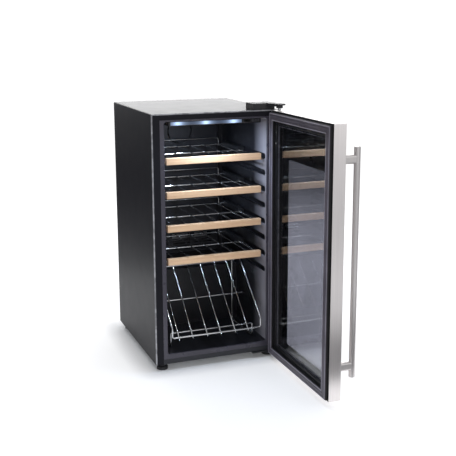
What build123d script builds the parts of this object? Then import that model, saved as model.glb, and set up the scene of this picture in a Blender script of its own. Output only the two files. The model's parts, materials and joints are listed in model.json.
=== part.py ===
from build123d import *
from math import cos, radians, sin
import os

os.makedirs("parts", exist_ok=True)

# Free-standing wine cooler, millimetres. +X right, +Y back, +Z up, front faces -Y.
# The origin is on the floor under the middle of the cabinet. The door stands open at 90 degrees.

# ---- cabinet ----
width = 345.0
depth = 385.0
height = 656.0
foot_height = 17.0
left, right = -width / 2, width / 2
front, back = -depth / 2, depth / 2
bottom = foot_height
top = bottom + height
sheet = 1.0                      # painted steel
clear = 0.2                      # gap between pieces that are glued or screwed together
post_width = 21.0                # front flange of each side panel
beam_height = 16.0               # front flange of the top panel
kick_height = 13.0
window_half = right - post_width
window_top = top - beam_height

# ---- liner ----
open_width = 279.0
open_low = bottom + 26.0
open_high = bottom + 635.5
open_height = open_high - open_low
open_mid = (open_low + open_high) / 2
open_half = open_width / 2
corner = 7.0
wall = 2.0
trim_depth = 6.0
liner_front = front + trim_depth
liner_back = back - 45.0
hump_front = front + 222.0       # step over the compressor room
hump_top = bottom + 190.0
groove_pitch = 43.85
groove_count = 8
groove_height = 15.0
groove_depth = 7.0
groove_front = front + 12.0
groove_back = liner_back - 6.0
shelf_pitch = 2 * groove_pitch
strip_height = 16.8
shelf_top = bottom + 540.8
groove_top = shelf_top - strip_height / 2
grooves = [groove_top - groove_pitch * i for i in range(groove_count)]
shelf_levels = [groove_top - shelf_pitch * i for i in range(4)]

# ---- compressor room ----
room_front = hump_front + wall + 25.0
room_top = hump_top - wall - 25.0
inside = right - sheet - clear

# ---- hinge line and door, open at 90 degrees ----
pivot_x = 161.5
pivot_y = -219.5
door_width = width
door_height = 660.0
door_low = bottom - 3.5
door_high = door_low + door_height
door_inner = 144.0               # X of the door's inner face
door_thick = 31.5
door_outer = door_inner + door_thick
door_hinge_y = pivot_y + (right - pivot_x)
door_free_y = door_hinge_y - door_width
door_mid_y = (door_hinge_y + door_free_y) / 2
door_mid_z = (door_low + door_high) / 2
pin_radius = 4.0
running = 0.05
bush_radius = 6.0
door_border = 42.0
frame_border = 33.0
glass_width = door_width - 47.0
glass_height = door_height - 47.0
handle_y = door_free_y + 17.0
handle_x = door_outer + 37.7
handle_radius = 7.5
handle_length = 556.0
handle_mid = 340.0
post_spacing = 498.0

# ---- feet and hinge screws ----
foot_x = right - 22.0
foot_front_y = front + 20.0
foot_back_y = back - 25.0
stud_radius = 4.0
screw_radius = 2.5
top_screws = [(112, -158), (131, -158), (150, -158)]
low_screws = [(108, -176), (124, -164), (136, -180)]


def save(piece, node):
    """Labels a finished piece and writes it as one STEP file."""
    piece.part.label = node
    export_step(piece.part, f"parts/{node}.step")


def block(x, y, z, mode=Mode.ADD):
    """A box between (low, high) limits along each axis."""
    spans = (x, y, z)
    with Locations(tuple((low + high) / 2 for low, high in spans)):
        Box(*(high - low for low, high in spans), mode=mode)


def rod(start, end, radius, mode=Mode.ADD):
    """A straight round bar between two points."""
    start, end = Vector(*start), Vector(*end)
    with BuildSketch(Plane(origin=start, z_dir=end - start)) as section:
        Circle(radius)
    extrude(section.sketch, amount=(end - start).length, mode=mode)


def tube(points, bend, radius):
    """A round bar along straight runs joined by arcs."""
    with BuildLine() as path:
        FilletPolyline(*points, radius=bend)
    with BuildSketch(Plane(origin=path.line @ 0, z_dir=path.line % 0)) as section:
        Circle(radius)
    sweep(section.sketch, path=path.line)


def facing_front(y):
    """A plane at depth y whose local axes are X and Z; it extrudes backwards by a negative amount."""
    return Plane(origin=(0, y, 0), x_dir=(1, 0, 0), z_dir=(0, -1, 0))


def facing_door(x):
    """A plane at x whose local axes are Y and Z; it extrudes towards +X."""
    return Plane(origin=(x, 0, 0), x_dir=(0, 1, 0), z_dir=(1, 0, 0))


def door_ring(x, thick, outer, inner, corner_radius=0.0, mode=Mode.ADD):
    """A rectangular ring in the door's plane; outer and inner are (width, height)."""
    with BuildSketch(facing_door(x)) as ring:
        with Locations((door_mid_y, door_mid_z)):
            if corner_radius:
                RectangleRounded(*outer, corner_radius)
            else:
                Rectangle(*outer)
            Rectangle(*inner, mode=Mode.SUBTRACT)
    extrude(ring.sketch, amount=thick, mode=mode)


# ================= cabinet shell =================
with BuildPart() as outer_wrap:
    block((left, right), (front, back), (bottom, top))
    rounded = outer_wrap.edges().filter_by(Axis.Z).group_by(Axis.Y)[0]
    rounded += outer_wrap.faces().sort_by(Axis.Z)[-1].edges().sort_by(Axis.Y)[:-1]
    fillet(rounded, 2.0)
    block((left + sheet, right - sheet), (front + sheet, back + 1), (bottom - 1, top - sheet),
          Mode.SUBTRACT)
    block((-window_half, window_half), (front - 1, front + 2), (bottom - 1, window_top), Mode.SUBTRACT)
    for x, y in top_screws:
        rod((x, y, top - 2), (x, y, top + 1), screw_radius + clear, Mode.SUBTRACT)
save(outer_wrap, "outer_wrap")

with BuildPart() as rear_panel:
    block((-inside, inside), (back - sheet, back), (room_top + 3, top - sheet - clear))
    for x in (-150, 150):
        block((x - 9, x + 9), (back - sheet / 2, back + 1.2), (room_top + 40, top - 40))
    fillet(rear_panel.faces().sort_by(Axis.Y)[-1].edges(), 0.5)
save(rear_panel, "rear_panel")

with BuildPart() as base_plate:
    block((-inside, inside), (front + 4.2, back - clear), (bottom, bottom + 1.5))
    for x in (-foot_x, foot_x):
        with Locations((x, foot_front_y, bottom + 5.5)):
            Cylinder(8, 8.6)
        rod((x, foot_front_y, bottom - 1), (x, foot_front_y, bottom + 11), stud_radius + running,
            Mode.SUBTRACT)
        rod((x, foot_back_y, bottom - 1), (x, foot_back_y, bottom + 3), stud_radius + clear,
            Mode.SUBTRACT)
    for x, y in low_screws:
        rod((x, y, bottom - 1), (x, y, bottom + 3), screw_radius + clear, Mode.SUBTRACT)
    with BuildSketch(Plane.XY.offset(bottom - 1)):
        with Locations((-60, (room_front + back) / 2)):
            with GridLocations(15, 60, 7, 2):
                SlotOverall(40, 5, rotation=90)
    extrude(amount=4, mode=Mode.SUBTRACT)
save(base_plate, "base_plate")

with BuildPart() as kick_panel:
    block((clear - window_half, window_half - clear), (front, front + 4), (bottom, bottom + kick_height))
    block((4 - window_half, window_half - 4), (front + 1.5, front + 5), (bottom - 1, bottom + 11),
          Mode.SUBTRACT)
    fillet(kick_panel.edges().filter_by(Axis.X).group_by(Axis.Y)[0], 0.6)
save(kick_panel, "kick_panel")

with BuildPart() as front_trim:
    block((clear - window_half, window_half - clear), (front, liner_front - clear),
          (bottom + kick_height + clear, window_top - clear))
    with BuildSketch(facing_front(front - 1)):
        with Locations((0, open_mid)):
            RectangleRounded(open_width, open_height, corner)
    extrude(amount=-trim_depth - 2, mode=Mode.SUBTRACT)
    inner_edges = [e for e in front_trim.faces().sort_by(Axis.Y)[0].edges()
                   if abs(e.center().X) < open_half + 0.1
                   and open_low - 0.1 < e.center().Z < open_high + 0.1]
    fillet(inner_edges, 2.0)
save(front_trim, "front_trim")


def liner_section(y_from, y_to, grow, floor=None, mode=Mode.SUBTRACT):
    """The liner's rounded section between two depths, grown outwards, above an optional floor."""
    with BuildSketch(facing_front(y_from)) as section:
        with Locations((0, open_mid)):
            RectangleRounded(open_width + 2 * grow, open_height + 2 * grow, corner + grow)
        if floor is not None:
            with Locations((0, floor - 300)):
                Rectangle(2 * width, 600, mode=Mode.SUBTRACT)
    extrude(section.sketch, amount=y_from - y_to, mode=mode)


def groove_blocks(grow, mode):
    """The wall behind each shelf groove, grown outwards."""
    for side in (-1, 1):
        outer = side * (open_half + groove_depth + wall + grow)
        inner = side * (open_half + wall / 2)
        half = groove_height / 2 + wall + grow
        for z in grooves:
            block((min(outer, inner), max(outer, inner)),
                  (groove_front - wall - grow, groove_back + wall + grow), (z - half, z + half), mode)


with BuildPart() as inner_liner:
    liner_section(liner_front, liner_back + wall, wall, mode=Mode.ADD)
    groove_blocks(0, Mode.ADD)
    block((-width, width), (hump_front + wall, back), (0, hump_top - wall), Mode.SUBTRACT)
    liner_section(liner_front - 1, hump_front, 0)
    liner_section(hump_front - 1, liner_back, 0, floor=hump_top)
    for side in (-1, 1):
        with BuildSketch(facing_door(side * open_half - side)):
            for z in grooves:
                with Locations(((groove_front + groove_back) / 2, z)):
                    SlotOverall(groove_back - groove_front, groove_height)
        extrude(amount=side * (groove_depth + 1), mode=Mode.SUBTRACT)
save(inner_liner, "inner_liner")

with BuildPart() as foam_insulation:
    block((-inside, inside), (front + sheet + 3.4, back - sheet - clear),
          (bottom + 1.5 + clear, top - sheet - clear))
    block((-window_half - clear, window_half + clear), (front, liner_front), (bottom, window_top + clear),
          Mode.SUBTRACT)
    liner_section(front, hump_front + wall + clear, wall + clear)
    liner_section(hump_front, liner_back + wall + clear, wall + clear, floor=hump_top - wall - clear)
    groove_blocks(clear, Mode.SUBTRACT)
    block((-width, width), (room_front - clear, back + 1), (0, room_top + sheet + clear), Mode.SUBTRACT)
    for x, y in top_screws:
        rod((x, y, top - 20), (x, y, top), screw_radius + 0.4, Mode.SUBTRACT)
    for x, y in low_screws:
        rod((x, y, bottom), (x, y, bottom + 16), screw_radius + 0.4, Mode.SUBTRACT)
    for x in (-foot_x, foot_x):
        rod((x, foot_front_y, bottom), (x, foot_front_y, bottom + 16), 8.4, Mode.SUBTRACT)
save(foam_insulation, "foam_insulation")

with BuildPart() as machine_room_wall:
    block((-inside, inside), (room_front, room_front + sheet), (bottom + 1.5 + clear, room_top + sheet))
    block((-inside, inside), (room_front, back - sheet - clear), (room_top, room_top + sheet))
save(machine_room_wall, "machine_room_wall")

# ================= cooling inside the cabinet =================
cover_front = liner_back - 29.5
cover_half = 118.0
fan_z = 590.0
evaporator_y = liner_back - 8.0

with BuildPart() as evaporator:
    block((-88, 88), (evaporator_y, evaporator_y + 1.5), (262, 536))
    runs = []
    for i, z in enumerate(range(276, 536, 26)):
        ends = (-74, 74) if i % 2 == 0 else (74, -74)
        runs += [(x, evaporator_y - 1.8, z) for x in ends]
    tube(runs, 11, 2.6)
save(evaporator, "evaporator")

with BuildPart() as air_cover:
    block((-cover_half, cover_half), (cover_front, liner_back - clear), (226, 645))
    fillet(air_cover.faces().sort_by(Axis.Y)[0].edges(), 5)
    block((2 - cover_half, cover_half - 2), (cover_front + 2, liner_back + 1), (228, 643), Mode.SUBTRACT)
    with BuildSketch(facing_front(cover_front - 1)):
        with Locations((0, fan_z)):
            for ring in range(17, 40, 6):
                Circle(ring + 1.7)
                Circle(ring - 1.7, mode=Mode.SUBTRACT)
            with PolarLocations(0, 4):
                Rectangle(90, 3, mode=Mode.SUBTRACT)
        with Locations((0, 262)):
            with GridLocations(68, 9, 3, 6):
                SlotOverall(56, 4)
    extrude(amount=-5, mode=Mode.SUBTRACT)
save(air_cover, "air_cover")

with BuildPart() as fan_motor:
    rod((0, cover_front + 2 + clear, fan_z), (0, cover_front + 9, fan_z), 13.5)
    rod((0, cover_front + 9, fan_z), (0, cover_front + 21, fan_z), 1.5)
save(fan_motor, "fan_motor")

with BuildPart() as fan_rotor:
    rod((0, cover_front + 9.6, fan_z), (0, cover_front + 19.6, fan_z), 12.5)
    for i in range(7):
        turn = radians(360 / 7 * i)
        lean = radians(32)
        blade = Plane(origin=(0, cover_front + 14.6, fan_z), x_dir=(cos(turn), 0, sin(turn)),
                      z_dir=(-sin(turn) * sin(lean), -cos(lean), cos(turn) * sin(lean)))
        with BuildSketch(blade.offset(-0.6)):
            with Locations((24.5, 0)):
                RectangleRounded(27, 13, 3)
        extrude(amount=1.2)
    rod((0, cover_front + 9, fan_z), (0, cover_front + 20, fan_z), 1.5 + running, Mode.SUBTRACT)
save(fan_rotor, "fan_rotor")

with BuildPart() as temperature_probe:
    block((open_half - 5.2, open_half - clear), (60, 85), (515, 540))
    fillet(temperature_probe.faces().sort_by(Axis.X)[0].edges(), 2)
    with BuildSketch(facing_door(open_half - 6)):
        with Locations((72.5, 527.5)):
            with GridLocations(5, 0, 4, 1):
                SlotOverall(17, 2, rotation=90)
    extrude(amount=3, mode=Mode.SUBTRACT)
save(temperature_probe, "temperature_probe")

# ================= light and control pod on the ceiling =================
pod_front = front + 10.0
pod_half = 125.0
pod_low = open_high - 12.7
pod_mid = (pod_low + open_high) / 2
lens_span = (-120.0, 72.0)
led_places = (-101, -26, 49)
display_span = (79.0, 96.0)
keys = {"key_light": 102.5, "key_up": 110.5, "key_down": 118.5}
key_half = 3.0
board_y = pod_front + 11.0

with BuildPart() as light_housing:
    block((-pod_half, pod_half), (pod_front, pod_front + 62), (pod_low, open_high - clear))
    fillet(light_housing.faces().sort_by(Axis.Z)[0].edges(), 2.5)
    block((1.6 - pod_half, pod_half - 1.6), (pod_front + 1.8, pod_front + 60), (pod_low + 1.6, open_high),
          Mode.SUBTRACT)
    block(lens_span, (pod_front - 1, pod_front + 3), (pod_mid - 4.2, pod_mid + 4.2), Mode.SUBTRACT)
    block(display_span, (pod_front - 1, pod_front + 3), (pod_mid - 3.4, pod_mid + 3.4), Mode.SUBTRACT)
    for x in keys.values():
        block((x - key_half, x + key_half), (pod_front - 1, pod_front + 3),
              (pod_mid - key_half, pod_mid + key_half), Mode.SUBTRACT)
save(light_housing, "light_housing")

with BuildPart() as light_lens:
    block((lens_span[0] + clear, lens_span[1] - clear), (pod_front - 1.2, pod_front + 1.8),
          (pod_mid - 4, pod_mid + 4))
    fillet(light_lens.faces().sort_by(Axis.Y)[0].edges(), 1.1)
save(light_lens, "light_lens")

with BuildPart() as control_board:
    block((-119, 122), (board_y, board_y + 1.6), (pod_mid - 4, pod_mid + 4))
    for x in led_places:
        block((x - 2.5, x + 2.5), (board_y - 1.8, board_y + 0.2), (pod_mid - 2.5, pod_mid + 2.5))
    for x in keys.values():
        block((x - 2, x + 2), (board_y - 2.5, board_y + 0.2), (pod_mid - 2, pod_mid + 2))
save(control_board, "control_board")

with BuildPart() as display_window:
    block((display_span[0] + clear, display_span[1] - clear), (pod_front - 0.3, pod_front + 1.7),
          (pod_mid - 3.2, pod_mid + 3.2))
save(display_window, "display_window")

for node, x in keys.items():
    reach = key_half - 0.35
    with BuildPart() as key:
        block((x - reach, x + reach), (pod_front - 1, pod_front + 7.2), (pod_mid - reach, pod_mid + reach))
        fillet(key.faces().sort_by(Axis.Y)[0].edges(), 0.5)
        block((x - 3.5, x + 3.5), (pod_front + 2.2, pod_front + 3.4), (pod_mid - 3.9, pod_mid + 3.9))
    save(key, node)

# ================= compressor room =================
comp_x = -60.0
comp_y = (room_front + back) / 2
floor_z = bottom + 1.5

with BuildPart() as compressor:
    with BuildSketch(Plane.XY.offset(floor_z + 15)):
        with Locations((comp_x, comp_y)):
            Ellipse(62, 50)
    extrude(amount=112)
    fillet(compressor.faces().sort_by(Axis.Z)[-1].edges(), 24)
    fillet(compressor.faces().sort_by(Axis.Z)[0].edges(), 12)
    with BuildSketch(Plane.XY.offset(floor_z + 66)):
        with Locations((comp_x, comp_y)):
            Ellipse(65, 53)
    extrude(amount=4)
    for y in (comp_y - 36, comp_y + 36):
        block((comp_x - 74, comp_x + 74), (y - 9, y + 9), (floor_z + 12, floor_z + 15))
        block((comp_x - 30, comp_x + 30), (y - 3, y + 3), (floor_z + 14, floor_z + 34))
        for x in (comp_x - 63, comp_x + 63):
            rod((x, y, floor_z + 11), (x, y, floor_z + 16), 4.2, Mode.SUBTRACT)
    rod((comp_x - 50, comp_y, 92), (comp_x - 74, comp_y, 92), 4)
    rod((comp_x + 20, comp_y + 30, 120), (comp_x + 20, comp_y + 58, 120), 3.5)
save(compressor, "compressor")

with BuildPart() as compressor_mounts:
    for y in (comp_y - 36, comp_y + 36):
        for x in (comp_x - 63, comp_x + 63):
            rod((x, y, floor_z), (x, y, floor_z + 12 - 0.05), 8.5)
            rod((x, y, floor_z + 11), (x, y, floor_z + 19), 4)
            rod((x, y, floor_z + 15.1), (x, y, floor_z + 19), 7)
save(compressor_mounts, "compressor_mounts")

with BuildPart() as starter_box:
    block((comp_x + 66.5, comp_x + 100), (comp_y - 26, comp_y + 26), (62, 112))
    fillet(starter_box.edges().filter_by(Axis.X), 5)
    block((comp_x + 80, comp_x + 84), (comp_y - 27.5, comp_y + 27.5), (60.5, 113.5))
save(starter_box, "starter_box")

coil_y = back + 11.0
coil_radius = 2.5
coil_half = 132.0
coil_low = 205.0
coil_rows = 14
coil_pitch = 33.0

with BuildPart() as refrigerant_tubes:
    tube([(comp_x - 74, comp_y, 92), (-152, comp_y, 92), (-152, comp_y, room_top - clear)], 14, 3)
    tube([(comp_x + 20, comp_y + 58, 120), (comp_x + 20, coil_y, 120), (coil_half, coil_y, 120),
          (coil_half, coil_y, coil_low - clear)], 9, coil_radius)
    rod((60, comp_y + 20, 60), (130, comp_y + 20, 90), 9)
    rod((52, comp_y + 20, 56.6), (60, comp_y + 20, 60), 3)
    rod((130, comp_y + 20, 90), (138, comp_y + 20, 93.4), 3)
save(refrigerant_tubes, "refrigerant_tubes")

with BuildPart() as condenser_coil:
    turns = [(coil_half, coil_y, coil_low)]
    for i in range(coil_rows):
        z = coil_low + 16 + coil_pitch * i
        ends = (coil_half, -coil_half) if i % 2 == 0 else (-coil_half, coil_half)
        turns += [(x, coil_y, z) for x in ends]
    tube(turns, 13, coil_radius)
save(condenser_coil, "condenser_coil")

with BuildPart() as condenser_wires:
    wire_y = coil_y + coil_radius + 0.85
    for i in range(21):
        x = -110 + 11 * i
        rod((x, wire_y, coil_low + 8), (x, wire_y, coil_low + 24 + coil_pitch * (coil_rows - 1)), 0.8)
save(condenser_wires, "condenser_wires")

with BuildPart() as condenser_brackets:
    for x in (-114.5, 114.5):
        for row in (1, coil_rows - 2):
            z = coil_low + 16 + coil_pitch * row
            block((x - 3, x + 3), (back + clear, coil_y + 5), (z - 6, z + 6))
            block((x - 4, x + 4), (back + clear, back + 2), (z - 13, z + 13))
            rod((x - 6, coil_y, z), (x + 6, coil_y, z), coil_radius + 0.1, Mode.SUBTRACT)
save(condenser_brackets, "condenser_brackets")

with BuildPart() as drip_tray:
    tray_z = floor_z + 15 + 112 + 2
    block((comp_x - 58, comp_x + 58), (comp_y - 44, comp_y + 44), (tray_z, tray_z + 20))
    fillet(drip_tray.edges().filter_by(Axis.Z), 10)
    fillet(drip_tray.faces().sort_by(Axis.Z)[0].edges(), 3)
    block((comp_x - 55, comp_x + 55), (comp_y - 41, comp_y + 41), (tray_z + 2.4, tray_z + 21), Mode.SUBTRACT)
save(drip_tray, "drip_tray")

gland_x, gland_y, gland_z = 112.0, back - 9.0, 48.0

with BuildPart() as mains_gland:
    block((gland_x - 15, gland_x + 15), (gland_y - 3, gland_y), (floor_z, gland_z + 16))
    block((gland_x - 15, gland_x + 15), (gland_y - 22, gland_y), (floor_z, floor_z + 2))
    rod((gland_x, gland_y - 8, gland_z), (gland_x, gland_y + 4, gland_z), 9)
    rod((gland_x, gland_y + 3, gland_z), (gland_x, gland_y + 12, gland_z), 6.5)
    rod((gland_x, gland_y - 9, gland_z), (gland_x, gland_y + 13, gland_z), 3.7, Mode.SUBTRACT)
save(mains_gland, "mains_gland")

# ================= feet =================
for node, x in (("front_foot_left", -foot_x), ("front_foot_right", foot_x)):
    with BuildPart() as front_foot:
        rod((x, foot_front_y, 0), (x, foot_front_y, 8), 15)
        fillet(front_foot.faces().sort_by(Axis.Z)[-1].edges(), 2)
        with BuildSketch(Plane.XY.offset(8)):
            with Locations((x, foot_front_y)):
                RegularPolygon(9, 6)
        extrude(amount=5)
        rod((x, foot_front_y, 12), (x, foot_front_y, 30), stud_radius)
    save(front_foot, node)

with BuildPart() as rear_feet:
    for x in (-foot_x, foot_x):
        rod((x, foot_back_y, 0), (x, foot_back_y, foot_height - 0.1), 13)
        rod((x, foot_back_y, foot_height - 1), (x, foot_back_y, foot_height + 6), stud_radius)
save(rear_feet, "rear_feet")

# ================= hinges =================
arm_z = top + 10.0

with BuildPart() as upper_hinge_bracket:
    block((103, 159), (-189, -148), (top, top + 3))
    block((118, 159), (-189, -186), (top, arm_z + 3))
    with BuildSketch(Plane.XY.offset(arm_z)):
        with Locations((pivot_x, pivot_y)):
            Circle(8.5)
        with Locations((148, -187.5)):
            Rectangle(22, 3)
        make_hull()
    extrude(amount=3)
    rod((pivot_x, pivot_y, top + 6), (pivot_x, pivot_y, arm_z + 3), 8.5)
    rod((pivot_x, pivot_y, top), (pivot_x, pivot_y, arm_z + 4), pin_radius + running, Mode.SUBTRACT)
    for x, y in top_screws:
        rod((x, y, top - 1), (x, y, top + 4), screw_radius + clear, Mode.SUBTRACT)
save(upper_hinge_bracket, "upper_hinge_bracket")

with BuildPart() as upper_hinge_cover:
    block((99, 163), (-192, -144), (top + 0.3, arm_z + 7))
    with BuildSketch(Plane.XY.offset(arm_z + 3.4)):
        with Locations((pivot_x + 2, pivot_y - 1)):
            Circle(13)
        with Locations((151, -180)):
            Rectangle(24, 20)
        make_hull()
    extrude(amount=3.6)
    fillet(upper_hinge_cover.faces().sort_by(Axis.Z)[-1].edges(), 1.5)
    block((101, 161), (-189.5, -146), (top, arm_z + 3.4), Mode.SUBTRACT)
    block((134, 164), (-193, -185), (top, arm_z + 3.4), Mode.SUBTRACT)
save(upper_hinge_cover, "upper_hinge_cover")

with BuildPart() as lower_hinge_bracket:
    block((98, 170), (-197.5, -156), (bottom - 3, bottom - 0.05))
    block((146, 170), (-197.5, -194.5), (bottom - 7.5, bottom - 0.05))
    block((146, 170), (pivot_y, -194.5), (bottom - 7.5, bottom - 4.5))
    rod((pivot_x, pivot_y, bottom - 7.5), (pivot_x, pivot_y, bottom - 4.5), 11)
    rod((pivot_x, pivot_y, 0), (pivot_x, pivot_y, bottom), pin_radius + running, Mode.SUBTRACT)
    rod((foot_x, foot_front_y, bottom - 4), (foot_x, foot_front_y, bottom + 1), stud_radius + 1,
        Mode.SUBTRACT)
    for x, y in low_screws:
        rod((x, y, bottom - 4), (x, y, bottom + 1), screw_radius + clear, Mode.SUBTRACT)
save(lower_hinge_bracket, "lower_hinge_bracket")

with BuildPart() as hinge_pins:
    rod((pivot_x, pivot_y, door_high - 14), (pivot_x, pivot_y, arm_z + 2.8), pin_radius)
    with BuildSketch(Plane.XY.offset(bottom - 14)):
        with Locations((pivot_x, pivot_y)):
            RegularPolygon(8, 6)
    extrude(amount=6.4)
    rod((pivot_x, pivot_y, bottom - 8), (pivot_x, pivot_y, door_low + 14), pin_radius)
save(hinge_pins, "hinge_pins")

with BuildPart() as hinge_screws:
    for x, y in top_screws:
        rod((x, y, top - 16), (x, y, top + 4), screw_radius)
        rod((x, y, top + 3.05), (x, y, top + 5.5), 4.4)
    for x, y in low_screws:
        rod((x, y, bottom - 4), (x, y, bottom + 14), screw_radius)
        rod((x, y, bottom - 5.5), (x, y, bottom - 3.05), 4.4)
save(hinge_screws, "hinge_screws")

# ================= door =================
with BuildPart() as door_skin:
    door_ring(door_inner, door_thick, (door_width, door_height),
              (door_width - 2 * door_border, door_height - 2 * door_border), 1.5)
    fillet(door_skin.faces().sort_by(Axis.X)[-1].edges(), 0.8)
    with BuildSketch(facing_door(door_inner - 1)):
        with Locations((door_mid_y, door_mid_z)):
            Rectangle(door_width - 2 * sheet, door_height - 2 * sheet)
    extrude(amount=door_thick, mode=Mode.SUBTRACT)
    rod((pivot_x, pivot_y, door_low - 1), (pivot_x, pivot_y, door_high + 1), bush_radius + clear,
        Mode.SUBTRACT)
    for z in (handle_mid - post_spacing / 2, handle_mid + post_spacing / 2):
        rod((door_outer - 3, handle_y, z), (door_outer + 1, handle_y, z), 3.2, Mode.SUBTRACT)
save(door_skin, "door_skin")

frame_outer = (door_width - 2 * (sheet + clear), door_height - 2 * (sheet + clear))
frame_inner = (door_width - 2 * frame_border, door_height - 2 * frame_border)
rebate = (glass_width + 1, glass_height + 1)
seal_outer = (door_width - 10, door_height - 10)
seal_inner = (door_width - 50, door_height - 50)
barb_outer = (door_width - 26, door_height - 26)
barb_inner = (door_width - 33.6, door_height - 33.6)
glass_inner_x = door_inner + 6.2
pane_gap = 13.8

with BuildPart() as door_inner_frame:
    door_ring(door_inner + clear, door_thick - sheet - 2 * clear, frame_outer, frame_inner)
    with BuildSketch(facing_door(glass_inner_x - clear)):
        with Locations((door_mid_y, door_mid_z)):
            Rectangle(*rebate)
    extrude(amount=door_thick, mode=Mode.SUBTRACT)
    door_ring(door_inner - 1, 6, (barb_outer[0] + 0.4, barb_outer[1] + 0.4),
              (barb_inner[0] - 0.4, barb_inner[1] - 0.4), mode=Mode.SUBTRACT)
    for z_from, z_to in ((door_high, door_high - 17), (door_low, door_low + 17)):
        rod((pivot_x, pivot_y, z_from), (pivot_x, pivot_y, z_to), bush_radius + clear, Mode.SUBTRACT)
    for z in (handle_mid - post_spacing / 2, handle_mid + post_spacing / 2):
        rod((door_outer - 10, handle_y, z), (door_outer, handle_y, z), 5.6, Mode.SUBTRACT)
save(door_inner_frame, "door_inner_frame")

for node, x in (("inner_glass", glass_inner_x), ("outer_glass", glass_inner_x + 4 + pane_gap)):
    with BuildPart() as pane:
        with BuildSketch(facing_door(x)):
            with Locations((door_mid_y, door_mid_z)):
                Rectangle(glass_width, glass_height)
        extrude(amount=4)
        chamfer(pane.edges().filter_by(Axis.X), 1)
    save(pane, node)

with BuildPart() as glass_spacer:
    door_ring(glass_inner_x + 4.1, pane_gap - 0.2, (glass_width - 6, glass_height - 6),
              (frame_inner[0] - 9, frame_inner[1] - 9))
save(glass_spacer, "glass_spacer")

with BuildPart() as door_gasket:
    door_ring(door_inner - 8.5, 8.5, seal_outer, seal_inner, 3)
    fillet(door_gasket.faces().sort_by(Axis.X)[0].edges(), 1.5)
    for inset in (6.0, 13.0):
        door_ring(door_inner - 9.5, 2.2, (seal_outer[0] - 2 * inset, seal_outer[1] - 2 * inset),
                  (seal_outer[0] - 2 * inset - 2.6, seal_outer[1] - 2 * inset - 2.6), mode=Mode.SUBTRACT)
    door_ring(door_inner - 1, 5.6, barb_outer, barb_inner)
save(door_gasket, "door_gasket")

with BuildPart() as handle_bar:
    rod((handle_x, handle_y, handle_mid - handle_length / 2),
        (handle_x, handle_y, handle_mid + handle_length / 2), handle_radius)
    chamfer(handle_bar.edges().filter_by(GeomType.CIRCLE), 0.8)
save(handle_bar, "handle_bar")

with BuildPart() as handle_posts:
    for z in (handle_mid - post_spacing / 2, handle_mid + post_spacing / 2):
        with BuildSketch(facing_door(door_outer + 0.1)):
            with Locations((handle_y, z)):
                RectangleRounded(12.5, 21, 5)
        extrude(amount=handle_x - door_outer - 3)
        rod((door_outer, handle_y, z), (door_outer + 16, handle_y, z), 3.1, Mode.SUBTRACT)
    rod((handle_x, handle_y, 0), (handle_x, handle_y, door_high), handle_radius + 0.05, Mode.SUBTRACT)
save(handle_posts, "handle_posts")

with BuildPart() as handle_screws:
    for z in (handle_mid - post_spacing / 2, handle_mid + post_spacing / 2):
        rod((door_outer - 5.2, handle_y, z), (door_outer - sheet - 0.1, handle_y, z), 5)
        rod((door_outer - 4, handle_y, z), (door_outer + 15, handle_y, z), 3)
save(handle_screws, "handle_screws")

with BuildPart() as hinge_bushes:
    rod((pivot_x, pivot_y, door_high - 16), (pivot_x, pivot_y, door_high), bush_radius)
    rod((pivot_x, pivot_y, door_low), (pivot_x, pivot_y, door_low + 16), bush_radius)
    rod((pivot_x, pivot_y, door_low - 0.8), (pivot_x, pivot_y, door_low - 0.05), 8)
    rod((pivot_x, pivot_y, door_low - 0.1), (pivot_x, pivot_y, door_low + 0.1), bush_radius)
    rod((pivot_x, pivot_y, 0), (pivot_x, pivot_y, door_high + 1), pin_radius + running, Mode.SUBTRACT)
save(hinge_bushes, "hinge_bushes")

# ================= pull-out shelves =================
strip_half = 129.5
strip_front = front + 17.0
strip_thick = 14.0
side_rail_x = 130.5
rail_radius = 2.5
bar_radius = 2.2
wire_radius = 1.75
shelf_back = 110.0
cross_bars = (strip_front + strip_thick + 4, -24.0, shelf_back)
bottle_pitch = 83.0
wire_places = [bottle_pitch * n + side * 20 for n in (-1, 0, 1) for side in (-1, 1)]
glide_span = (-18.0, 106.0)

for number, level in enumerate(shelf_levels, 1):
    wire_z = level + 0.6
    bar_z = wire_z - 3.5
    with BuildPart() as shelf_front:
        block((-strip_half, strip_half), (strip_front, strip_front + strip_thick),
              (level - strip_height / 2, level + strip_height / 2))
        fillet(shelf_front.edges().filter_by(Axis.X), 1.2)
        for x in wire_places:
            rod((x, strip_front + 6, wire_z), (x, strip_front + strip_thick + 1, wire_z), wire_radius + 0.1,
                Mode.SUBTRACT)
    save(shelf_front, f"shelf_{number}_front")

    with BuildPart() as shelf_wire:
        for side in (-1, 1):
            x = side * side_rail_x
            rod((x, cross_bars[0] - 3.2, bar_z), (x, shelf_back + 3.2, bar_z), rail_radius)
        for y in cross_bars:
            rod((-side_rail_x, y, bar_z), (side_rail_x, y, bar_z), bar_radius)
        for x in wire_places:
            rod((x, strip_front + 7, wire_z), (x, shelf_back + 1, wire_z), wire_radius)
        tube([(-115, shelf_back, bar_z), (-115, shelf_back, wire_z + 16), (115, shelf_back, wire_z + 16),
              (115, shelf_back, bar_z)], 6, wire_radius)
    save(shelf_wire, f"shelf_{number}_wire")

    with BuildPart() as shelf_glides:
        for side in (-1, 1):
            near, far = side * (side_rail_x - 4), side * (open_half + groove_depth - 1)
            block((min(near, far), max(near, far)), glide_span, (level - 6.4, level + 5.6))
            x = side * side_rail_x
            rod((x, glide_span[0] - 1, bar_z), (x, glide_span[1] + 1, bar_z), rail_radius + 0.1,
                Mode.SUBTRACT)
        fillet(shelf_glides.edges().filter_by(Axis.Y).group_by(Axis.X)[0], 1)
        fillet(shelf_glides.edges().filter_by(Axis.Y).group_by(Axis.X)[-1], 1)
    save(shelf_glides, f"shelf_{number}_glides")

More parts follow.
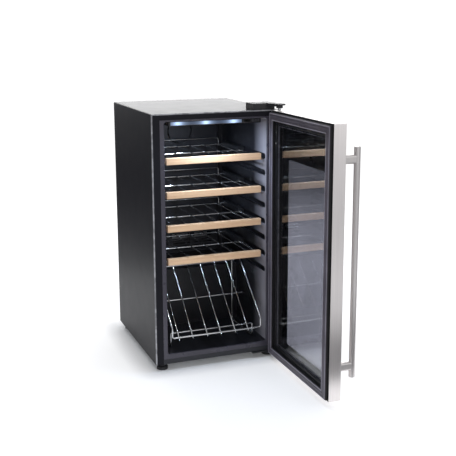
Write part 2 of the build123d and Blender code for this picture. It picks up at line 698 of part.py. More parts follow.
# ================= lower display rack =================
slope = radians(42)
along = (cos(slope), sin(slope))                 # (Y, Z) up the incline
across = (-sin(slope), cos(slope))               # (Y, Z) away from the incline
toe = (front + 24.0, bottom + 47.0)              # (Y, Z) of the incline's low end
incline_length = 238.0
stop_height = 26.0
rack_half = 125.0
skid_x = 117.0
skid_z = open_low + 2.5
rack_pitch = 80.0
rack_radius = 2.0
loop_radius = 2.3
cross_radius = 1.8
skid_radius = 2.15


def on_incline(distance, lift=0.0):
    """The (Y, Z) of a point up the incline, lifted off it."""
    return (toe[0] + along[0] * distance + across[0] * lift, toe[1] + along[1] * distance + across[1] * lift)


with BuildPart() as bottom_rack:
    stop = on_incline(0, stop_height)
    head = on_incline(incline_length)
    for n in (-1, 0, 1):
        for side in (-1, 1):
            x = rack_pitch * n + side * 19
            tube([(x, *stop), (x, *toe), (x, *head)], 7, rack_radius)
    for x in (-rack_half, rack_half):
        rise = (stop[0], stop[1] + 25)
        rail_end = on_incline(incline_length, stop_height + 12)
        tube([(0, *stop), (x, *stop), (x, *rise), (x, *rail_end), (x, *head), (0, *head)], 6, loop_radius)
    for distance in (30, 130):
        y, z = on_incline(distance, -3.2)
        rod((-skid_x, y, z), (skid_x, y, z), cross_radius)
    for x in (-skid_x, skid_x):
        low = on_incline(30, -3.2)
        high = on_incline(incline_length)
        tube([(x, *low), (x, low[0], skid_z), (x, high[0], skid_z), (x, *high)], 10, skid_radius)
save(bottom_rack, "bottom_rack")
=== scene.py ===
import json
import math

import bmesh
import bpy
from mathutils import Matrix, Vector

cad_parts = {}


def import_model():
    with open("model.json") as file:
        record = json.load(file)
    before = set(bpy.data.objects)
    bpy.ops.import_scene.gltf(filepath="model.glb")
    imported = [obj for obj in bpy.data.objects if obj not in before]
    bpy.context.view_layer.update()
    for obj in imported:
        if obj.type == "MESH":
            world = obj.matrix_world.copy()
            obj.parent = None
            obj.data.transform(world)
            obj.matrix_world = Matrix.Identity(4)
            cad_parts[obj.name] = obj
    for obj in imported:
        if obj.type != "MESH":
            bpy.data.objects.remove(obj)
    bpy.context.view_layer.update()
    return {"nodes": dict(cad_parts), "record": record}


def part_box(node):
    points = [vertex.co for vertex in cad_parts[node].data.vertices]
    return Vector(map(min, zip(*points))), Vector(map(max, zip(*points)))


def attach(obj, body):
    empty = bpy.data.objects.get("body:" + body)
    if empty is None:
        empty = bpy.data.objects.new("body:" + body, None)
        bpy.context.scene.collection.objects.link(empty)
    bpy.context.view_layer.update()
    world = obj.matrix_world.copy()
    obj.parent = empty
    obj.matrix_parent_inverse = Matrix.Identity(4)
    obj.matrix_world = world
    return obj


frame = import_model()
nodes = frame["nodes"]

# Places inside pieces that the frame's boxes don't give, in metres.
LIGHT_CHIPS_X = (-0.101, -0.026, 0.049)
# The liner's painted shade fades in from LINER_LIT_Y to LINER_DARK_Y and also covers its grooves and floor.
LINER_LIT_Y, LINER_DARK_Y = -0.168, -0.100
LINER_GROOVE_X = 0.1405
LINER_FLOOR_Z = 0.047
SEAL_WIDTH = 0.020
FRAME_BORDER = 0.033
FLAG_LIFT = 0.004


# ---------------------------------------------------------------- small helpers

def linear(code):
    """An sRGB colour written as #rrggbb, as linear RGBA."""
    values = [int(code[i:i + 2], 16) / 255 for i in (1, 3, 5)]
    return tuple(v / 12.92 if v <= 0.04045 else ((v + 0.055) / 1.055) ** 2.4 for v in values) + (1.0,)


def scaled(colour, factor, lift=0.0):
    """A linear colour made lighter or darker."""
    return tuple(min(1.0, value * factor + lift) for value in colour[:3]) + (1.0,)


def placed(name, data):
    """A new object in the scene."""
    made = bpy.data.objects.new(name, data)
    bpy.context.scene.collection.objects.link(made)
    return made


class Surface:
    """A Principled material, with the few node patterns that the materials below share."""

    def __init__(self, name, **constants):
        self.material = bpy.data.materials.new(name)
        self.material.use_nodes = True
        self.tree = self.material.node_tree
        self.shader = self.tree.nodes["Principled BSDF"]
        for socket, value in constants.items():
            self.shader.inputs[socket.replace("_", " ")].default_value = value

    def node(self, kind, **settings):
        made = self.tree.nodes.new(kind)
        for key, value in settings.items():
            setattr(made, key, value)
        return made

    def link(self, source, target):
        self.tree.links.new(source, target)

    def wire(self, source, socket):
        self.link(source, self.shader.inputs[socket])

    def coords(self, stretch=(1, 1, 1)):
        """Object coordinates in metres; a small factor along an axis draws the pattern out along it."""
        place = self.node("ShaderNodeTexCoord")
        mapping = self.node("ShaderNodeMapping")
        mapping.inputs["Scale"].default_value = stretch
        self.link(place.outputs["Object"], mapping.inputs["Vector"])
        return mapping.outputs["Vector"]

    def noise(self, scale, stretch=(1, 1, 1), detail=4.0, distortion=0.0):
        made = self.node("ShaderNodeTexNoise")
        made.inputs["Scale"].default_value = scale
        made.inputs["Detail"].default_value = detail
        made.inputs["Distortion"].default_value = distortion
        self.link(self.coords(stretch), made.inputs["Vector"])
        return made.outputs["Fac"]

    def spread(self, value, low, high, start=0.3, end=0.7):
        """Maps a pattern from start..end to low..high."""
        made = self.node("ShaderNodeMapRange")
        for socket, number in (("From Min", start), ("From Max", end), ("To Min", low), ("To Max", high)):
            made.inputs[socket].default_value = number
        self.link(value, made.inputs["Value"])
        return made.outputs["Result"]

    def blend(self, share, first, second):
        """Mixes two colours, each a colour or another node's output."""
        made = self.node("ShaderNodeMix", data_type="RGBA")
        self.link(share, made.inputs["Factor"])
        for socket, colour in ((made.inputs[6], first), (made.inputs[7], second)):
            if isinstance(colour, tuple):
                socket.default_value = colour
            else:
                self.link(colour, socket)
        return made.outputs[2]

    def math(self, operation, first, second):
        made = self.node("ShaderNodeMath", operation=operation)
        for socket, value in zip(made.inputs, (first, second)):
            if isinstance(value, (int, float)):
                socket.default_value = value
            else:
                self.link(value, socket)
        return made.outputs[0]

    def edges(self, radius):
        """1 on the object's edges and 0 on its flats, from how far rounding would turn the surface."""
        rounded = self.node("ShaderNodeBevel", samples=6)
        rounded.inputs["Radius"].default_value = radius
        flat = self.node("ShaderNodeNewGeometry")
        turn = self.node("ShaderNodeVectorMath", operation="DOT_PRODUCT")
        self.link(rounded.outputs["Normal"], turn.inputs[0])
        self.link(flat.outputs["Normal"], turn.inputs[1])
        return self.spread(turn.outputs["Value"], 1.0, 0.0, 0.75, 0.99)

    def folds(self, low, high, band):
        """1 along the upright and top edges of a box's front, and 0 elsewhere; the mask of a painted
        highlight.
        """
        place = self.node("ShaderNodeSeparateXYZ")
        self.link(self.coords(), place.inputs["Vector"])
        front = self.math("LESS_THAN", place.outputs["Y"], low.y + band)
        aside = self.math("GREATER_THAN", self.math("ABSOLUTE", place.outputs["X"], 0.0), high.x - band)
        above = self.math("GREATER_THAN", place.outputs["Z"], high.z - band)
        return self.math("MULTIPLY", front, self.math("MAXIMUM", aside, above))

    def relief(self, *layers, edge=0.0):
        """Stacks bump layers, each (pattern, strength, depth in metres), over softly rounded edges."""
        normal = None
        if edge:
            rounded = self.node("ShaderNodeBevel", samples=6)
            rounded.inputs["Radius"].default_value = edge
            normal = rounded.outputs["Normal"]
        for pattern, strength, depth in layers:
            made = self.node("ShaderNodeBump")
            made.inputs["Strength"].default_value = strength
            made.inputs["Distance"].default_value = depth
            self.link(pattern, made.inputs["Height"])
            if normal is not None:
                self.link(normal, made.inputs["Normal"])
            normal = made.outputs["Normal"]
        self.wire(normal, "Normal")


# ---------------------------------------------------------------- materials

def paint(name, colour, wear_and_highlight_colour, roughness=0.40, specular=0.3, wear_and_highlight_amount=0.8, highlight_box=None):
    """Satin enamel: orange peel, slow cloudy variation, handling marks, and lighter edges that are wear, but
    a painted highlight along a highlight box's front edges.
    """
    s = Surface(name, Specular_IOR_Level=specular)
    clouds = s.noise(2.5, detail=2.0)
    # With a highlight box the lighter edge colour is a painted highlight; without one it is wear.
    edges = s.folds(*highlight_box, band=0.0030) if highlight_box else s.edges(radius=0.0012)
    wear_and_highlight_mask = s.math("MULTIPLY", edges, s.spread(s.noise(60.0), 0.5 * wear_and_highlight_amount, wear_and_highlight_amount, 0.40, 0.60))
    shade = s.blend(s.spread(clouds, 0.0, 1.0), linear(colour), scaled(linear(colour), 1.12))
    s.wire(s.blend(wear_and_highlight_mask, shade, linear(wear_and_highlight_colour)), "Base Color")
    s.wire(s.spread(s.noise(24.0, detail=6.0), roughness - 0.01, roughness + 0.015), "Roughness")
    s.relief((s.noise(700.0, detail=2.0), 0.05, 0.0002), edge=0.0008)
    return s.material


def plastic(name, colour, roughness=0.42, grain=1400.0, depth=0.25, edge=0.0006):
    """Moulded plastic with a spark-eroded grain, faint flow clouds and slightly polished edges."""
    s = Surface(name, Specular_IOR_Level=0.45)
    lifted = scaled(linear(colour), 1.3, lift=0.002)
    s.wire(s.blend(s.spread(s.noise(9.0), 0.0, 1.0), linear(colour), lifted), "Base Color")
    gloss = s.math("MULTIPLY", s.edges(radius=0.001), -0.10)
    s.wire(s.math("ADD", s.spread(s.noise(45.0), roughness - 0.04, roughness + 0.06), gloss), "Roughness")
    s.relief((s.noise(grain, detail=2.0), depth, 0.0002), edge=edge)
    return s.material


def brushed_steel(name, dark, light):
    """Stainless steel brushed along the height, with fine scratches and faint cloudy finger marks."""
    s = Surface(name, Metallic=1.0, Anisotropic=0.55)
    fine = s.noise(1.0, stretch=(2600, 2600, 9), detail=3.0)
    broad = s.noise(1.0, stretch=(420, 420, 3), detail=4.0)
    marks = s.noise(14.0, detail=5.0)
    s.wire(s.blend(s.spread(broad, 0.0, 1.0), linear(dark), linear(light)), "Base Color")
    brushed = s.spread(fine, 0.30, 0.42)
    s.wire(s.math("ADD", brushed, s.spread(marks, 0.0, 0.06, 0.5, 0.75)), "Roughness")
    s.relief((fine, 0.06, 0.00006), edge=0.0006)
    return s.material


def polished(name, colour, roughness, marks=0.06):
    """Bright plated metal, with a little haze and a drawn grain."""
    s = Surface(name, Metallic=1.0)
    haze = s.noise(30.0, detail=5.0)
    s.wire(s.blend(s.spread(haze, 0.0, 1.0), linear(colour), scaled(linear(colour), 0.86)), "Base Color")
    s.wire(s.spread(haze, roughness, roughness + marks), "Roughness")
    s.relief((s.noise(700.0, detail=2.0), 0.05, 0.0001))
    return s.material


def galvanised():
    """Zinc coated sheet: patches of crystal, each a slightly different grey and gloss."""
    s = Surface("galvanised", Metallic=0.85)
    crystals = s.node("ShaderNodeTexVoronoi")
    crystals.inputs["Scale"].default_value = 130.0
    s.link(s.coords(), crystals.inputs["Vector"])
    grey = s.node("ShaderNodeSeparateColor")
    s.link(crystals.outputs["Color"], grey.inputs["Color"])
    s.wire(s.blend(grey.outputs["Red"], linear("#8f9396"), linear("#bcc0c2")), "Base Color")
    s.wire(s.spread(grey.outputs["Green"], 0.32, 0.55, 0.0, 1.0), "Roughness")
    s.relief((s.noise(200.0), 0.08, 0.0002), edge=0.0006)
    return s.material


def beech():
    """Light beech with its grain along the width: growth bands, short dark flecks and a satin lacquer."""
    s = Surface("beech", Coat_Weight=0.12, Coat_Roughness=0.3, Specular_IOR_Level=0.35)
    bands = s.noise(1.0, stretch=(3.5, 95, 150), detail=5.0, distortion=0.35)
    flecks = s.noise(1.0, stretch=(70, 900, 1100), detail=2.0)
    boards = s.noise(1.0, stretch=(1.2, 1.5, 11), detail=1.0)
    timber = s.blend(s.spread(bands, 0.0, 1.0, 0.32, 0.68), linear("#f1cba4"), linear("#deb088"))
    timber = s.blend(s.spread(boards, 0.0, 0.35), timber, linear("#f6dabb"))
    s.wire(s.blend(s.spread(flecks, 0.0, 0.55, 0.60, 0.76), timber, linear("#b58157")), "Base Color")
    s.wire(s.spread(bands, 0.42, 0.58), "Roughness")
    s.relief((bands, 0.10, 0.0003), (flecks, 0.12, 0.0002), edge=0.0010)
    return s.material


def rubber(name, colour, roughness=0.6):
    """Soft extruded rubber with a fine matt skin and a dusty bloom."""
    s = Surface(name, Specular_IOR_Level=0.3)
    bloom = s.noise(22.0, detail=6.0)
    dusty = scaled(linear(colour), 1.5, lift=0.004)
    s.wire(s.blend(s.spread(bloom, 0.0, 1.0), linear(colour), dusty), "Base Color")
    s.wire(s.spread(bloom, roughness - 0.08, roughness + 0.08), "Roughness")
    s.relief((s.noise(1800.0, detail=2.0), 0.2, 0.0001), edge=0.0008)
    return s.material


def pane(name, tint):
    """Float glass with a tinted body and faintly uneven wiping."""
    s = Surface(name, Transmission_Weight=1.0, IOR=1.5, Roughness=0.0)
    wiped = s.noise(9.0, stretch=(1, 1, 0.4), detail=6.0)
    s.wire(s.blend(s.spread(wiped, 0.0, 1.0), linear(tint), scaled(linear(tint), 0.9)), "Base Color")
    return s.material


def lamp_lens():
    """Smoky lens with a soft glow in front of each light chip."""
    s = Surface("lamp_lens", Roughness=0.3, Emission_Strength=1.6)
    place = s.node("ShaderNodeSeparateXYZ")
    s.link(s.coords(), place.inputs["Vector"])
    glow = 0.0
    for chip in LIGHT_CHIPS_X:
        for share, reach in ((0.65, 0.010), (0.30, 0.024)):
            away = s.math("DIVIDE", s.math("SUBTRACT", place.outputs["X"], chip), reach)
            falloff = s.math("POWER", math.e, s.math("MULTIPLY", s.math("MULTIPLY", away, away), -1.0))
            glow = s.math("ADD", glow, s.math("MULTIPLY", falloff, share))
    milk = s.spread(s.noise(500.0), 0.9, 1.1)
    s.wire(s.blend(s.math("MULTIPLY", glow, milk), (0.002, 0.004, 0.014, 1), (0.50, 0.68, 1.0, 1)),
           "Emission Color")
    s.wire(s.blend(milk, linear("#1c222e"), linear("#262d3a")), "Base Color")
    s.relief((s.noise(700.0), 0.1, 0.0002))
    return s.material


def liner():
    """Moulded liner, lighter towards the opening; the near-black deeper in, in the grooves and on the floor
    is painted shade.
    """
    s = Surface("liner_plastic", Specular_IOR_Level=0.4)
    place = s.node("ShaderNodeSeparateXYZ")
    s.link(s.coords(), place.inputs["Vector"])
    depth_shade = s.spread(place.outputs["Y"], 0.0, 1.0, LINER_LIT_Y, LINER_DARK_Y)
    aside = s.math("GREATER_THAN", s.math("ABSOLUTE", place.outputs["X"], 0.0), LINER_GROOVE_X)
    floor_shade = s.math("LESS_THAN", place.outputs["Z"], LINER_FLOOR_Z)
    # The painted shade mask: deeper in, beyond the grooves' edge and below the floor level.
    depth = s.math("MAXIMUM", depth_shade, s.math("MAXIMUM", aside, floor_shade))
    flow = s.noise(6.0, detail=3.0)
    border = s.blend(s.spread(flow, 0.0, 1.0), linear("#8f8c94"), linear("#9a979e"))
    # The shaded copy of the liner's colour, painted shade.
    inside = s.blend(s.spread(flow, 0.0, 1.0), linear("#18181c"), linear("#1e1e23"))
    s.wire(s.blend(depth, border, inside), "Base Color")
    s.wire(s.spread(s.noise(40.0), 0.28, 0.36), "Roughness")
    s.relief((s.noise(900.0, detail=2.0), 0.10, 0.0002), edge=0.0012)
    return s.material


def foam():
    """Rigid insulating foam: pale, matt and full of small cells."""
    s = Surface("foam", Roughness=0.9)
    cells = s.noise(600.0, detail=3.0)
    s.wire(s.blend(s.spread(cells, 0.0, 1.0), linear("#cdbd86"), linear("#ece0b4")), "Base Color")
    s.relief((cells, 0.5, 0.0006))
    return s.material


def aluminium(name, colour, roughness):
    """Bare rolled aluminium with a faint rolling grain."""
    s = Surface(name, Metallic=1.0)
    rolled = s.noise(1.0, stretch=(500, 500, 12), detail=3.0)
    s.wire(s.blend(s.spread(rolled, 0.0, 1.0), linear(colour), scaled(linear(colour), 0.8)), "Base Color")
    s.wire(s.spread(rolled, roughness - 0.06, roughness + 0.08), "Roughness")
    s.relief((rolled, 0.06, 0.0001), edge=0.0005)
    return s.material


finishes = {
    "painted_side": paint("painted_side", "#222327", "#6a6c72"),
    "galvanised": galvanised(),
    "black_plastic": plastic("black_plastic", "#1b1b1e"),
    "liner_plastic": liner(),
    "foam": foam(),
    "evaporator_metal": aluminium("evaporator_metal", "#c3c6c8", 0.4),
    "board": plastic("board", "#1f5a35", roughness=0.35),
    "clear_lens": lamp_lens(),
    "key_plastic": plastic("key_plastic", "#3a3b40", roughness=0.5),
    "black_paint": paint("black_enamel", "#121213", "#3c3c3e", roughness=0.3),
    "rubber": rubber("black_rubber", "#1d1d1e"),
    "copper": polished("drawn_copper", "#b8704a", 0.22, marks=0.15),
    "steel": polished("plated_steel", "#c2c4c6", 0.22, marks=0.1),
    "brushed_steel": brushed_steel("handle_steel", "#d2cecd", "#dad6d5"),
    "glass": pane("clear_pane", "#e8eaec"),
    "spacer": aluminium("spacer_bar", "#3a3b3d", 0.4),
    "gasket": rubber("grey_gasket", "#504c55", roughness=0.45),
    "chrome": polished("chrome", "#d2d3d4", 0.14),
    "beech": beech(),
}
slot_of = {part["node"]: part["material_slot"] for part in frame["record"]["subparts"]}
special = {
    # The door skin's steel is a lighter copy of the handle's steel: the same metal, painted lighter where
    # more light falls.
    "door_skin": brushed_steel("brushed_steel", "#ebe6e5", "#f2edec"),
    # The light colour along this paint's front upright and top edges is a painted highlight.
    "outer_wrap": paint("cabinet_paint", "#1f1f24", "#d8d9df", roughness=0.36, specular=0.07, wear_and_highlight_amount=0.6,
                        highlight_box=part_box("outer_wrap")),
    "front_trim": plastic("trim_plastic", "#3c3a44", roughness=0.30, grain=1000.0, depth=0.1),
    "door_inner_frame": plastic("frame_plastic", "#17171a", roughness=0.35),
    "outer_glass": pane("smoked_pane", "#9c9ca8"),
    "display_window": plastic("display_black", "#050506", roughness=0.08, depth=0.02),
    "kick_panel": paint("kick_paint", "#2c2d32", "#6a6d72"),
}


def smooth_by_angle(node, degrees=35.0):
    """Smooth shading on curved faces only; large flats keep their own normal beside a rounded edge."""
    node.data.shade_smooth()
    node.data.set_sharp_from_angle(angle=math.radians(degrees))
    weighted = node.modifiers.new("weighted_normal", "WEIGHTED_NORMAL")
    weighted.mode = "FACE_AREA"
    weighted.keep_sharp = True


for name, node in nodes.items():
    finish = special.get(name) or finishes[slot_of[name]]
    node.data.materials.clear()
    node.data.materials.append(finish)
    smooth_by_angle(node)


# ---------------------------------------------------------------- added detail

def add_mesh(name, maker, body, finish):
    """Makes a mesh piece with maker(bmesh), gives it a finish and lets it ride on a body."""
    mesh = bpy.data.meshes.new(name)
    shape = bmesh.new()
    maker(shape)
    bmesh.ops.recalc_face_normals(shape, faces=shape.faces)
    shape.to_mesh(mesh)
    shape.free()
    piece = placed(name, mesh)
    mesh.materials.append(finish)
    smooth_by_angle(piece)
    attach(piece, body)


def skin_rows(shape, rows):
    """Faces between neighbouring closed rows of vertices, of which the first may be a single point."""
    for inner, outer in zip(rows, rows[1:]):
        for k in range(len(inner)):
            n = (k + 1) % len(inner)
            shape.faces.new((inner[k], outer[k], outer[n], inner[n]))
    bmesh.ops.remove_doubles(shape, verts=shape.verts, dist=1e-7)


def screw_head(shape, centre, outward, radius):
    """A pan head with a cross recess, standing on a surface."""
    rings, spokes = 9, 48
    rise, bulge = radius * 0.42, radius * radius * 1.02
    arm_width, arm_reach, arm_depth = radius * 0.12, radius * 0.62, radius * 0.3
    turn = Vector(outward).to_track_quat("Z", "Y").to_matrix().to_4x4()
    place = Matrix.Translation(Vector(centre)) @ turn

    def height(x, y):
        dome = rise * math.sqrt(max(0.0, 1 - (x * x + y * y) / bulge))
        in_recess = min(abs(x), abs(y)) < arm_width and max(abs(x), abs(y)) < arm_reach
        return dome - (arm_depth if in_recess else 0.0)

    rows = []
    for i in range(rings + 1):
        r = radius * i / rings
        row = []
        for k in range(spokes):
            a = 2 * math.pi * k / spokes
            x, y = r * math.cos(a), r * math.sin(a)
            row.append(shape.verts.new(place @ Vector((x, y, height(x, y)))))
        rows.append(row)
    skin_rows(shape, rows)


def screw_cap(shape, centre, radius):
    """A shallow round plug with a moat round it."""
    profile = ((0.0, 0.0004), (0.75, 0.0004), (0.9, 0.0001), (1.0, -0.0003))
    spokes = 40
    rows = []
    for share, rise in profile:
        row = []
        for k in range(spokes):
            a = 2 * math.pi * k / spokes
            x, y = radius * share * math.cos(a), radius * share * math.sin(a)
            row.append(shape.verts.new((centre[0] + x, centre[1] + y, centre[2] + rise)))
        rows.append(row)
    skin_rows(shape, rows)


def screws(name, places, outward, radius, body, finish=None):
    """One screw head at each place, numbered from 1."""
    for i, centre in enumerate(places):
        add_mesh(f"{name}_{i + 1}", lambda shape: screw_head(shape, centre, outward, radius), body,
                 finish or finishes["steel"])


def flat_ring(shape, x, thick, outer, inner):
    """A rectangular ring across the x axis; outer and inner are (y low, y high, z low, z high)."""
    loops = []
    for depth in (x, x + thick):
        for y0, y1, z0, z1 in (outer, inner):
            corners = ((y0, z0), (y1, z0), (y1, z1), (y0, z1))
            loops.append([shape.verts.new((depth, y, z)) for y, z in corners])
    front_out, front_in, back_out, back_in = loops
    for k in range(4):
        n = (k + 1) % 4
        shape.faces.new((front_out[k], front_out[n], front_in[n], front_in[k]))
        shape.faces.new((back_out[k], back_out[n], back_in[n], back_in[k]))
        shape.faces.new((front_out[k], front_out[n], back_out[n], back_out[k]))
        shape.faces.new((front_in[k], front_in[n], back_in[n], back_in[k]))


def inset_span(low, high, by):
    """The y and z limits of a box, drawn in on every side."""
    return (low.y + by, high.y - by, low.z + by, high.z - by)


def edge_ring(name, box, x, thick, inset, width, finish):
    """A rectangular ring on the door, drawn in from the edges of a box."""
    outer = inset_span(*box, inset)
    inner = inset_span(*box, inset + width)
    add_mesh(name, lambda shape: flat_ring(shape, x, thick, outer, inner), "door", finish)


wrap_low, wrap_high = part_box("outer_wrap")
panel_low, panel_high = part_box("rear_panel")
glass_low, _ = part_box("inner_glass")
frame_low, frame_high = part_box("door_inner_frame")
skin_low, skin_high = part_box("door_skin")

# Black print inside the outer pane: a border that hides the spacer, and a deep band along the top.
outer_low, outer_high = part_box("outer_glass")
print_sides, print_below, print_above = 0.040, 0.022, 0.098
print_gap, print_thick, print_inset = 0.00002, 0.0001, 0.0005
clear_view = (outer_low.y + print_sides, outer_high.y - print_sides,
              outer_low.z + print_below, outer_high.z - print_above)
printed_view = inset_span(outer_low, outer_high, print_inset)
print_x = outer_low.x - print_thick - print_gap
add_mesh("printed_border", lambda shape: flat_ring(shape, print_x, print_thick, printed_view, clear_view),
         "door", plastic("ceramic_print", "#0b0b0c", roughness=0.3, depth=0.05))

# Screws that hold the door's hinge reinforcement, through the inner frame beside the upper hinge.
reinforcement_y = frame_high.y - 0.0285
reinforcement_drops = (0.052, 0.081)
frame_places = [(frame_low.x - 0.0001, reinforcement_y, frame_high.z - drop) for drop in reinforcement_drops]
screws("frame_screw", frame_places, (-1, 0, 0), 0.0022, "door")

# Screws round the rear panel.
panel_screw_x, panel_screw_margin, panel_screw_rows = 0.163, 0.02, 5
panel_pitch = (panel_high.z - panel_low.z - 2 * panel_screw_margin) / (panel_screw_rows - 1)
rear_rows = [panel_low.z + panel_screw_margin + i * panel_pitch for i in range(panel_screw_rows)]
rear_places = [(side * panel_screw_x, wrap_high.y, z) for side in (-1, 1) for z in rear_rows]
screws("panel_screw", rear_places, (0, 1, 0), 0.0036, "cabinet")

# Screws that hold the cover of the air channel to the liner.
cover_low, cover_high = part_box("air_cover")
cover_screw_x, cover_screw_margin = 0.104, 0.016
cover_rows = (cover_low.z + cover_screw_margin, cover_high.z - cover_screw_margin)
cover_places = [(side * cover_screw_x, cover_low.y, z) for side in (-1, 1) for z in cover_rows]
screws("cover_screw", cover_places, (0, -1, 0), 0.0032, "cabinet", finishes["black_plastic"])

# Plugs over the screws in the top of the hinge cover.
hinge_low, hinge_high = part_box("upper_hinge_cover")
plug_margin, plug_pitch, plug_radius = 0.014, 0.030, 0.0045
for i in range(2):
    plug = (hinge_low.x + plug_margin + i * plug_pitch, hinge_high.y - plug_margin, hinge_high.z)
    add_mesh(f"hinge_plug_{i + 1}", lambda shape: screw_cap(shape, plug, plug_radius), "cabinet",
             finishes["key_plastic"])

# Soft lips along both edges of the magnetic seal, standing just proud of its grey face; their lighter grey
# is a painted highlight.
seal_low, seal_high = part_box("door_gasket")
lip_highlight_finish = rubber("seal_lip_highlight", "#8a8792", roughness=0.4)
for name, inset in (("seal_outer_lip", 0.0012), ("seal_inner_lip", SEAL_WIDTH - 0.0030)):
    edge_ring(name, (seal_low, seal_high), seal_low.x - 0.0002, 0.0010, inset, 0.0018, lip_highlight_finish)

# Thin black rings along both sides of the seal, just behind its grey face.
bellows_finish = rubber("seal_bellows", "#0d0d0f")
for name, inset in (("seal_outer_bellows", -0.0003), ("seal_inner_bellows", SEAL_WIDTH - 0.0001)):
    edge_ring(name, (seal_low, seal_high), seal_low.x + 0.0016, 0.0066, inset, 0.0004, bellows_finish)

# Two beads that hold the inner pane in the frame; their grey, lighter than the black frame, is a painted
# highlight.
bead_highlight_finish = plastic("pane_bead", "#4a4950", roughness=0.28, depth=0.05)
for name, inset in (("pane_bead_outer", FRAME_BORDER), ("pane_bead_inner", FRAME_BORDER + 0.0045)):
    edge_ring(name, (skin_low, skin_high), glass_low.x - 0.0014, 0.0012, inset, 0.0016, bead_highlight_finish)


# ---------------------------------------------------------------- floor, light and camera

def lying(x0, x1, y0, y1, z):
    """The corners of a level rectangle."""
    return [(x0, y0, z), (x1, y0, z), (x1, y1, z), (x0, y1, z)]


def standing(x, y0, y1, height):
    """The corners of an upright rectangle on the floor, across the x axis."""
    return [(x, y0, 0.0), (x, y1, 0.0), (x, y1, height), (x, y0, height)]


def card(name, corners):
    mesh = bpy.data.meshes.new(name)
    mesh.from_pydata(corners, [], [(0, 1, 2, 3)])
    return placed(name, mesh)


def floor():
    """Pale paper that fades into the white backdrop without a horizon; its glow dies away close to the
    cabinet, a painted contact shadow.
    """
    made = card("floor", lying(-3.0, 3.0, -3.0, 3.0, 0.0))
    s = Surface("floor_paper", Specular_IOR_Level=0.2, Emission_Strength=0.42)
    place = s.node("ShaderNodeSeparateXYZ")
    s.link(s.coords(), place.inputs["Vector"])
    gaps = []
    for axis, low, high in (("X", wrap_low.x, wrap_high.x), ("Y", wrap_low.y, wrap_high.y)):
        off_centre = s.math("ABSOLUTE", s.math("SUBTRACT", place.outputs[axis], (low + high) / 2), 0.0)
        gap = s.math("MAXIMUM", s.math("SUBTRACT", off_centre, (high - low) / 2), 0.0)
        gaps.append(s.math("MULTIPLY", gap, gap))
    painted_shadow_reach = s.math("SQRT", s.math("ADD", *gaps), 0.0)
    # Emission is black under the cabinet and rises over a few centimetres round it: a painted contact
    # shadow.
    s.wire(s.blend(s.spread(painted_shadow_reach, 0.0, 1.0, -0.01, 0.06), (0, 0, 0, 1), (1, 1, 1, 1)), "Emission Color")
    s.wire(s.blend(s.spread(s.noise(3.0), 0.0, 1.0), linear("#ebecef"), linear("#f0f1f3")), "Base Color")
    s.wire(s.spread(s.noise(12.0), 0.55, 0.7), "Roughness")
    reach = s.node("ShaderNodeVectorMath", operation="LENGTH")
    s.link(s.coords(), reach.inputs[0])
    fade = s.spread(reach.outputs["Value"], 0.0, 1.0, 0.9, 2.4)
    clear = s.node("ShaderNodeBsdfTransparent")
    either = s.node("ShaderNodeMixShader")
    s.link(fade, either.inputs[0])
    s.link(s.shader.outputs[0], either.inputs[1])
    s.link(clear.outputs[0], either.inputs[2])
    s.link(either.outputs[0], s.tree.nodes["Material Output"].inputs["Surface"])
    made.data.materials.append(s.material)


def flag(name, corners, shade):
    """A dark card outside the picture that only shows in the reflections."""
    made = card(name, corners)
    matt = Surface(name, Base_Color=linear(shade), Roughness=0.9, Specular_IOR_Level=0.1)
    made.data.materials.append(matt.material)
    for ray in ("camera", "diffuse", "transmission", "volume_scatter", "shadow"):
        setattr(made, f"visible_{ray}", False)


def world(ambient, backdrop):
    """A white backdrop for the eye, and a dimmer, even room for what the object reflects."""
    sky = bpy.data.worlds.new("studio")
    sky.use_nodes = True
    tree = sky.node_tree
    room = tree.nodes["Background"]
    room.inputs["Color"].default_value = (0.97, 0.98, 1.0, 1.0)
    room.inputs["Strength"].default_value = ambient
    paper = tree.nodes.new("ShaderNodeBackground")
    paper.inputs["Color"].default_value = (1.0, 1.0, 1.0, 1.0)
    paper.inputs["Strength"].default_value = backdrop
    path = tree.nodes.new("ShaderNodeLightPath")
    either = tree.nodes.new("ShaderNodeMixShader")
    tree.links.new(path.outputs["Is Camera Ray"], either.inputs[0])
    tree.links.new(room.outputs[0], either.inputs[1])
    tree.links.new(paper.outputs[0], either.inputs[2])
    tree.links.new(either.outputs[0], tree.nodes["World Output"].inputs["Surface"])
    bpy.context.scene.world = sky


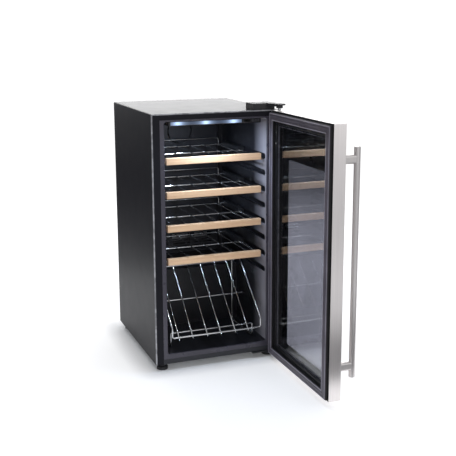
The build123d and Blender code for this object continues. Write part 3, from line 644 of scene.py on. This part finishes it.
def area_light(name, place, target, size, energy, colour=(1, 1, 1)):
    """A rectangular lamp that faces a target; size in metres, energy in watts."""
    lamp = bpy.data.lights.new(name, "AREA")
    lamp.shape = "RECTANGLE"
    lamp.size, lamp.size_y = size
    lamp.energy = energy
    lamp.color = colour
    made = placed(name, lamp)
    made.location = place
    made.rotation_euler = (Vector(target) - Vector(place)).to_track_quat("-Z", "Y").to_euler()


def camera(place, turn, tilt, roll, lens, shift):
    """turn is from +Y towards +X, tilt is downwards; both in degrees."""
    turn, tilt, roll = (math.radians(a) for a in (turn, tilt, roll))
    forward = Vector((math.sin(turn) * math.cos(tilt), math.cos(turn) * math.cos(tilt), -math.sin(tilt)))
    level = Vector((math.cos(turn), -math.sin(turn), 0.0))
    upright = level.cross(forward)
    right = level * math.cos(roll) + upright * math.sin(roll)
    up = upright * math.cos(roll) - level * math.sin(roll)
    data = bpy.data.cameras.new("camera")
    data.lens = lens
    data.sensor_width = 36.0
    data.shift_y = shift
    made = placed("camera", data)
    made.matrix_world = Matrix((
        (right.x, up.x, -forward.x, place[0]),
        (right.y, up.y, -forward.y, place[1]),
        (right.z, up.z, -forward.z, place[2]),
        (0, 0, 0, 1),
    ))
    bpy.context.scene.camera = made


floor()
flag("floor_flag", lying(-1.2, 1.6, -1.05, -0.68, FLAG_LIFT), "#606062")
flag("back_floor_flag", lying(-2.2, -0.36, 0.7, 3.6, FLAG_LIFT), "#39393c")
flag("side_flag", standing(-1.1, 0.5, 4.6, 2.4), "#39393c")
world(ambient=0.42, backdrop=1.1)
area_light("front", (0.6, -4.2, 1.6), (0, 0, 0.4), (5.0, 3.0), 44)
area_light("top", (0.2, 0.2, 2.6), (0, 0, 0), (2.6, 2.6), 26)
area_light("back", (0.85, 2.8, 1.05), (0, 0, 0.65), (3.6, 1.1), 52)
pod_low, pod_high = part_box("light_lens")
lamp_x = (pod_low.x + pod_high.x) / 2
lamp_y = pod_low.y + 0.030
area_light("cabinet_lamp", (lamp_x, lamp_y, pod_low.z - 0.004), (0, lamp_y, 0.0), (0.25, 0.010), 1.25,
           (0.66, 0.80, 1.0))
camera(place=(-0.76742, -2.28134, 0.89302), turn=20.88, tilt=11.71, roll=-0.22, lens=69.42, shift=-0.05)
bpy.context.scene.view_settings.view_transform = "Standard"
